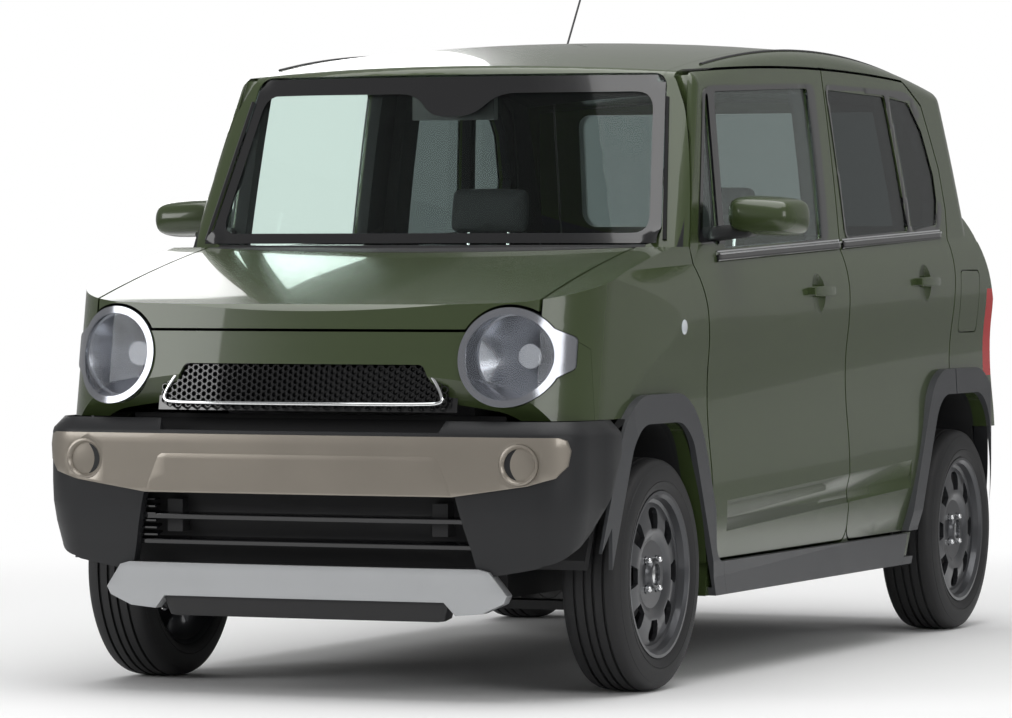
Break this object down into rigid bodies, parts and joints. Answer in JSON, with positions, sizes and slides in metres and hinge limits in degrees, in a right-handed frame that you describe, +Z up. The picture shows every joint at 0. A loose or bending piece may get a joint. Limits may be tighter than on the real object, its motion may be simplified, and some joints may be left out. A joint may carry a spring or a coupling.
{
  "type": "kei car",
  "caption": "small tall hatchback passenger car with opening doors, tailgate, bonnet and fuel flap, turning wheels, coupled steering, hollow cabin with seats",
  "frame": {"origin": "on the ground below the centre of the length and width", "axes": "X to the car's left, the front faces -Y, Z up"},
  "size_m": [1.844, 3.395, 1.9123],
  "materials": {
    "body_paint": "glossy olive-green solid paint",
    "band_paint": "satin warm silver paint on plastic",
    "silver_plastic": "satin cool silver paint on plastic",
    "cladding_plastic": "grained dark grey moulding",
    "black_plastic": "grained black moulding",
    "dash_plastic": "grained dark interior moulding",
    "bright_trim": "bright grey lamp bezel",
    "lens_glass": "clear moulded lens",
    "red_lens": "red moulded lens",
    "clear_glass": "green-tinted safety glass",
    "tinted_glass": "dark privacy glass",
    "body_primer": "dark underbody coating",
    "chassis_steel": "black chassis paint",
    "cast_steel": "rough casting",
    "cast_alloy": "as-cast alloy",
    "exhaust_steel": "heat-dulled steel",
    "tank_plastic": "blow-moulded black plastic",
    "wheel_paint": "dark silver wheel paint",
    "tyre": "black tyre rubber",
    "seat_fabric": "dark woven seat cloth"
  },
  "bodies": {
    "body": {"antenna": "black_plastic", "body_sides": "body_paint", "boot_board": "dash_plastic", "bumper_band": "band_paint", "cowl_panel": "black_plastic", "dashboard": "dash_plastic", "engine_block": "cast_alloy", "exhaust": "exhaust_steel", "front_bumper": "cladding_plastic", "front_fenders": "body_paint", "front_lip": "black_plastic", "front_seats": "seat_fabric", "front_suspension": "chassis_steel", "fuel_tank": "tank_plastic", "headlamp_housings": "bright_trim", "headlamp_lenses": "lens_glass", "interior_mirror": "black_plastic", "lower_grille": "black_plastic", "nose_panel": "body_paint", "rear_axle": "chassis_steel", "rear_bumper": "body_paint", "rear_seat": "seat_fabric", "roof_panel": "body_paint", "side_claddings": "cladding_plastic", "skid_strip": "silver_plastic", "steering_column": "dash_plastic", "tail_lamps": "red_lens", "underbody": "body_primer", "upper_grille": "black_plastic", "wheel_houses": "body_primer", "windscreen": "clear_glass"},
    "knuckle_left": {"knuckle_left": "cast_steel"},
    "knuckle_right": {"knuckle_right": "cast_steel"},
    "bonnet": {"bonnet": "body_paint"},
    "tailgate": {"tailgate": "body_paint", "tailgate_glass": "tinted_glass"},
    "fuel_flap": {"fuel_flap": "body_paint"},
    "steering_wheel": {"steering_wheel": "dash_plastic"},
    "front_door_left": {"front_door_left": "body_paint", "front_door_glass_left": "clear_glass", "door_mirror_left": "body_paint"},
    "rear_door_left": {"rear_door_left": "body_paint", "rear_door_glass_left": "tinted_glass", "rear_door_cladding_left": "cladding_plastic"},
    "wheel_front_left": {"rim_front_left": "wheel_paint", "tyre_front_left": "tyre"},
    "wheel_rear_left": {"rim_rear_left": "wheel_paint", "tyre_rear_left": "tyre"},
    "front_door_right": {"front_door_right": "body_paint", "front_door_glass_right": "clear_glass", "door_mirror_right": "body_paint"},
    "rear_door_right": {"rear_door_right": "body_paint", "rear_door_glass_right": "tinted_glass", "rear_door_cladding_right": "cladding_plastic"},
    "wheel_front_right": {"rim_front_right": "wheel_paint", "tyre_front_right": "tyre"},
    "wheel_rear_right": {"rim_rear_right": "wheel_paint", "tyre_rear_right": "tyre"}
  },
  "joints": [
    {"name": "front_door_left_hinge", "type": "hinge", "parent": "body", "child": "front_door_left", "pos_m": [0.727, -0.8235, 0.7], "axis": [-0.061, 0, 0.9981], "range_deg": [-65, 0]},
    {"name": "rear_door_left_hinge", "type": "hinge", "parent": "body", "child": "rear_door_left", "pos_m": [0.737, 0.333, 0.7], "axis": [-0.061, 0, 0.9981], "range_deg": [-65, 0]},
    {"name": "front_door_right_hinge", "type": "hinge", "parent": "body", "child": "front_door_right", "pos_m": [-0.727, -0.8235, 0.7], "axis": [0.061, 0, 0.9981], "range_deg": [0, 65]},
    {"name": "rear_door_right_hinge", "type": "hinge", "parent": "body", "child": "rear_door_right", "pos_m": [-0.737, 0.333, 0.7], "axis": [0.061, 0, 0.9981], "range_deg": [0, 65]},
    {"name": "tailgate_hinge", "type": "hinge", "parent": "body", "child": "tailgate", "pos_m": [0, 1.412, 1.55], "axis": [1, 0, 0], "range_deg": [0, 78]},
    {"name": "bonnet_hinge", "type": "hinge", "parent": "body", "child": "bonnet", "pos_m": [0, -0.875, 1.105], "axis": [1, 0, 0], "range_deg": [-50, 0]},
    {"name": "fuel_flap_hinge", "type": "hinge", "parent": "body", "child": "fuel_flap", "pos_m": [0.7265, 1.3025, 0.95], "axis": [0, 0, 1], "range_deg": [-100, 0]},
    {"name": "steering_wheel_turn", "type": "hinge", "parent": "body", "child": "steering_wheel", "pos_m": [-0.335, -0.4675, 0.93], "axis": [0, 0.891, 0.454], "range_deg": [-540, 540]},
    {"name": "steer_left", "type": "hinge", "parent": "body", "child": "knuckle_left", "pos_m": [0.63, -1.1075, 0.2895], "axis": [0, 0, 1], "range_deg": [-35, 35]},
    {"name": "steer_right", "type": "hinge", "parent": "body", "child": "knuckle_right", "pos_m": [-0.63, -1.1075, 0.2895], "axis": [0, 0, 1], "range_deg": [-35, 35]},
    {"name": "wheel_front_left_spin", "type": "hinge", "parent": "knuckle_left", "child": "wheel_front_left", "pos_m": [0.6475, -1.1075, 0.2895], "axis": [1, 0, 0], "continuous": true},
    {"name": "wheel_rear_left_spin", "type": "hinge", "parent": "body", "child": "wheel_rear_left", "pos_m": [0.645, 1.3175, 0.2895], "axis": [1, 0, 0], "continuous": true},
    {"name": "wheel_front_right_spin", "type": "hinge", "parent": "knuckle_right", "child": "wheel_front_right", "pos_m": [-0.6475, -1.1075, 0.2895], "axis": [1, 0, 0], "continuous": true},
    {"name": "wheel_rear_right_spin", "type": "hinge", "parent": "body", "child": "wheel_rear_right", "pos_m": [-0.645, 1.3175, 0.2895], "axis": [1, 0, 0], "continuous": true}
  ],
  "couplings": [
    {"joint": "steer_left", "follows": "steering_wheel_turn", "ratio": 0.0648},
    {"joint": "steer_right", "follows": "steering_wheel_turn", "ratio": 0.0648}
  ]
}
